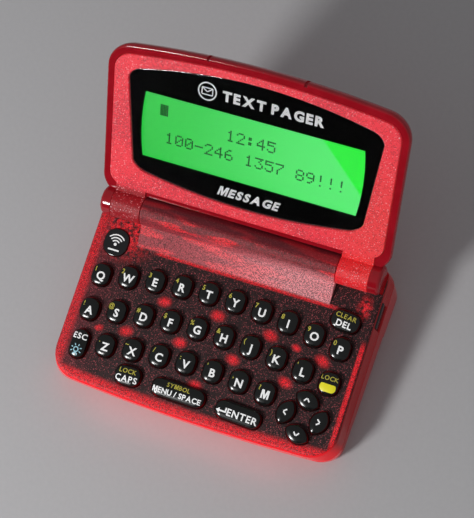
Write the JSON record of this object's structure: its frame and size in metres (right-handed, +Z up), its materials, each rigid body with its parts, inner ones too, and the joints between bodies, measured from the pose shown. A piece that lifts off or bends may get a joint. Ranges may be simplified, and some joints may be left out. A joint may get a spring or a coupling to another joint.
{
  "type": "pager",
  "caption": "Folding two-way pager with a full thumb keyboard on a sloping base and a backlit display in a barrel-hinged lid.",
  "frame": {"origin": "middle of the battery door's flat underside, which the pager rests on", "axes": "+X to the user's right along the hinge, +Y to the back, +Z up"},
  "size_m": [0.0826, 0.0826, 0.056],
  "materials": {
    "deck_red": "translucent dark red, fine spark-eroded sparkle texture",
    "case_red": "translucent red, polished",
    "lid_red": "translucent dark red, polished",
    "bezel_pink": "translucent red over a pale backing, sparkle texture",
    "lens_black": "clear window with a black printed border",
    "lcd_green": "backlit liquid crystal panel",
    "light_guide": "clear light guide",
    "flex_amber": "polyimide ribbon",
    "steel": "bright steel",
    "copper": "plated copper alloy",
    "board_green": "solder mask",
    "mat_rubber": "silicone rubber",
    "black_plastic": "black plastic",
    "cell_wrap": "steel cell in a printed wrap",
    "key_black": "polished black cap, printed legends"
  },
  "bodies": {
    "base": {"upper_case": "deck_red", "lower_case": "case_red", "emblem_badge": "black_plastic", "side_port_insert": "black_plastic", "case_screw": "steel", "hinge_pin_left": "steel", "hinge_pin_right": "steel", "main_board": "board_green", "keypad_mat": "mat_rubber", "rf_shield": "steel", "sounder": "black_plastic", "antenna": "copper", "vibration_motor": "steel", "aa_battery": "cell_wrap", "battery_spring": "steel", "positive_contact": "copper"},
    "lid": {"lid_back_shell": "lid_red", "lid_bezel": "bezel_pink", "display_lens": "lens_black", "lcd_panel": "lcd_green", "lcd_backlight": "light_guide", "lid_flex_cable": "flex_amber"},
    "door": {"battery_door": "case_red"},
    "weight": {"vibration_weight": "steel"},
    "key_Q": {"key_Q": "key_black"},
    "key_W": {"key_W": "key_black"},
    "key_E": {"key_E": "key_black"},
    "key_R": {"key_R": "key_black"},
    "key_T": {"key_T": "key_black"},
    "key_Y": {"key_Y": "key_black"},
    "key_U": {"key_U": "key_black"},
    "key_I": {"key_I": "key_black"},
    "key_O": {"key_O": "key_black"},
    "key_P": {"key_P": "key_black"},
    "key_A": {"key_A": "key_black"},
    "key_S": {"key_S": "key_black"},
    "key_D": {"key_D": "key_black"},
    "key_F": {"key_F": "key_black"},
    "key_G": {"key_G": "key_black"},
    "key_H": {"key_H": "key_black"},
    "key_J": {"key_J": "key_black"},
    "key_K": {"key_K": "key_black"},
    "key_L": {"key_L": "key_black"},
    "key_Z": {"key_Z": "key_black"},
    "key_X": {"key_X": "key_black"},
    "key_C": {"key_C": "key_black"},
    "key_V": {"key_V": "key_black"},
    "key_B": {"key_B": "key_black"},
    "key_N": {"key_N": "key_black"},
    "key_M": {"key_M": "key_black"},
    "key_shift_lock": {"key_shift_lock": "key_black"},
    "key_esc": {"key_esc": "key_black"},
    "key_caps": {"key_caps": "key_black"},
    "key_menu_space": {"key_menu_space": "key_black"},
    "key_enter": {"key_enter": "key_black"},
    "key_delete": {"key_delete": "key_black"},
    "key_arrow_right": {"key_arrow_right": "key_black"},
    "key_arrow_up": {"key_arrow_up": "key_black"},
    "key_arrow_left": {"key_arrow_left": "key_black"},
    "key_arrow_down": {"key_arrow_down": "key_black"}
  },
  "joints": [
    {"name": "hinge_lid", "type": "hinge", "parent": "base", "child": "lid", "pos_m": [0, 0.0026, 0.01825], "axis": [1, 0, 0], "range_deg": [0, 138.4]},
    {"name": "battery_door_slide", "type": "slide", "parent": "base", "child": "door", "axis": [0, 1, 0], "range_m": [0, 0.014]},
    {"name": "vibration_spin", "type": "hinge", "parent": "base", "child": "weight", "pos_m": [-0.0206, -0.016, 0.0054], "axis": [1, 0, 0], "continuous": true},
    {"name": "key_Q_press", "type": "slide", "parent": "base", "child": "key_Q", "axis": [0, -0.1556, 0.9878], "range_m": [-0.0006, 0], "stiffness_N_per_m": 300},
    {"name": "key_W_press", "type": "slide", "parent": "base", "child": "key_W", "axis": [0, -0.1556, 0.9878], "range_m": [-0.0006, 0], "stiffness_N_per_m": 300},
    {"name": "key_E_press", "type": "slide", "parent": "base", "child": "key_E", "axis": [0, -0.1556, 0.9878], "range_m": [-0.0006, 0], "stiffness_N_per_m": 300},
    {"name": "key_R_press", "type": "slide", "parent": "base", "child": "key_R", "axis": [0, -0.1556, 0.9878], "range_m": [-0.0006, 0], "stiffness_N_per_m": 300},
    {"name": "key_T_press", "type": "slide", "parent": "base", "child": "key_T", "axis": [0, -0.1556, 0.9878], "range_m": [-0.0006, 0], "stiffness_N_per_m": 300},
    {"name": "key_Y_press", "type": "slide", "parent": "base", "child": "key_Y", "axis": [0, -0.1556, 0.9878], "range_m": [-0.0006, 0], "stiffness_N_per_m": 300},
    {"name": "key_U_press", "type": "slide", "parent": "base", "child": "key_U", "axis": [0, -0.1556, 0.9878], "range_m": [-0.0006, 0], "stiffness_N_per_m": 300},
    {"name": "key_I_press", "type": "slide", "parent": "base", "child": "key_I", "axis": [0, -0.1556, 0.9878], "range_m": [-0.0006, 0], "stiffness_N_per_m": 300},
    {"name": "key_O_press", "type": "slide", "parent": "base", "child": "key_O", "axis": [0, -0.1556, 0.9878], "range_m": [-0.0006, 0], "stiffness_N_per_m": 300},
    {"name": "key_P_press", "type": "slide", "parent": "base", "child": "key_P", "axis": [0, -0.1556, 0.9878], "range_m": [-0.0006, 0], "stiffness_N_per_m": 300},
    {"name": "key_A_press", "type": "slide", "parent": "base", "child": "key_A", "axis": [0, -0.1556, 0.9878], "range_m": [-0.0006, 0], "stiffness_N_per_m": 300},
    {"name": "key_S_press", "type": "slide", "parent": "base", "child": "key_S", "axis": [0, -0.1556, 0.9878], "range_m": [-0.0006, 0], "stiffness_N_per_m": 300},
    {"name": "key_D_press", "type": "slide", "parent": "base", "child": "key_D", "axis": [0, -0.1556, 0.9878], "range_m": [-0.0006, 0], "stiffness_N_per_m": 300},
    {"name": "key_F_press", "type": "slide", "parent": "base", "child": "key_F", "axis": [0, -0.1556, 0.9878], "range_m": [-0.0006, 0], "stiffness_N_per_m": 300},
    {"name": "key_G_press", "type": "slide", "parent": "base", "child": "key_G", "axis": [0, -0.1556, 0.9878], "range_m": [-0.0006, 0], "stiffness_N_per_m": 300},
    {"name": "key_H_press", "type": "slide", "parent": "base", "child": "key_H", "axis": [0, -0.1556, 0.9878], "range_m": [-0.0006, 0], "stiffness_N_per_m": 300},
    {"name": "key_J_press", "type": "slide", "parent": "base", "child": "key_J", "axis": [0, -0.1556, 0.9878], "range_m": [-0.0006, 0], "stiffness_N_per_m": 300},
    {"name": "key_K_press", "type": "slide", "parent": "base", "child": "key_K", "axis": [0, -0.1556, 0.9878], "range_m": [-0.0006, 0], "stiffness_N_per_m": 300},
    {"name": "key_L_press", "type": "slide", "parent": "base", "child": "key_L", "axis": [0, -0.1556, 0.9878], "range_m": [-0.0006, 0], "stiffness_N_per_m": 300},
    {"name": "key_Z_press", "type": "slide", "parent": "base", "child": "key_Z", "axis": [0, -0.1556, 0.9878], "range_m": [-0.0006, 0], "stiffness_N_per_m": 300},
    {"name": "key_X_press", "type": "slide", "parent": "base", "child": "key_X", "axis": [0, -0.1556, 0.9878], "range_m": [-0.0006, 0], "stiffness_N_per_m": 300},
    {"name": "key_C_press", "type": "slide", "parent": "base", "child": "key_C", "axis": [0, -0.1556, 0.9878], "range_m": [-0.0006, 0], "stiffness_N_per_m": 300},
    {"name": "key_V_press", "type": "slide", "parent": "base", "child": "key_V", "axis": [0, -0.1556, 0.9878], "range_m": [-0.0006, 0], "stiffness_N_per_m": 300},
    {"name": "key_B_press", "type": "slide", "parent": "base", "child": "key_B", "axis": [0, -0.1556, 0.9878], "range_m": [-0.0006, 0], "stiffness_N_per_m": 300},
    {"name": "key_N_press", "type": "slide", "parent": "base", "child": "key_N", "axis": [0, -0.1556, 0.9878], "range_m": [-0.0006, 0], "stiffness_N_per_m": 300},
    {"name": "key_M_press", "type": "slide", "parent": "base", "child": "key_M", "axis": [0, -0.1556, 0.9878], "range_m": [-0.0006, 0], "stiffness_N_per_m": 300},
    {"name": "key_shift_lock_press", "type": "slide", "parent": "base", "child": "key_shift_lock", "axis": [0, -0.1556, 0.9878], "range_m": [-0.0006, 0], "stiffness_N_per_m": 300},
    {"name": "key_esc_press", "type": "slide", "parent": "base", "child": "key_esc", "axis": [0, -0.1556, 0.9878], "range_m": [-0.0006, 0], "stiffness_N_per_m": 300},
    {"name": "key_caps_press", "type": "slide", "parent": "base", "child": "key_caps", "axis": [0, -0.1556, 0.9878], "range_m": [-0.0006, 0], "stiffness_N_per_m": 300},
    {"name": "key_menu_space_press", "type": "slide", "parent": "base", "child": "key_menu_space", "axis": [0, -0.1556, 0.9878], "range_m": [-0.0006, 0], "stiffness_N_per_m": 300},
    {"name": "key_enter_press", "type": "slide", "parent": "base", "child": "key_enter", "axis": [0, -0.1556, 0.9878], "range_m": [-0.0006, 0], "stiffness_N_per_m": 300},
    {"name": "key_delete_press", "type": "slide", "parent": "base", "child": "key_delete", "axis": [0, -0.1556, 0.9878], "range_m": [-0.0006, 0], "stiffness_N_per_m": 300},
    {"name": "key_arrow_right_press", "type": "slide", "parent": "base", "child": "key_arrow_right", "axis": [0, -0.1556, 0.9878], "range_m": [-0.0006, 0], "stiffness_N_per_m": 300},
    {"name": "key_arrow_up_press", "type": "slide", "parent": "base", "child": "key_arrow_up", "axis": [0, -0.1556, 0.9878], "range_m": [-0.0006, 0], "stiffness_N_per_m": 300},
    {"name": "key_arrow_left_press", "type": "slide", "parent": "base", "child": "key_arrow_left", "axis": [0, -0.1556, 0.9878], "range_m": [-0.0006, 0], "stiffness_N_per_m": 300},
    {"name": "key_arrow_down_press", "type": "slide", "parent": "base", "child": "key_arrow_down", "axis": [0, -0.1556, 0.9878], "range_m": [-0.0006, 0], "stiffness_N_per_m": 300}
  ]
}
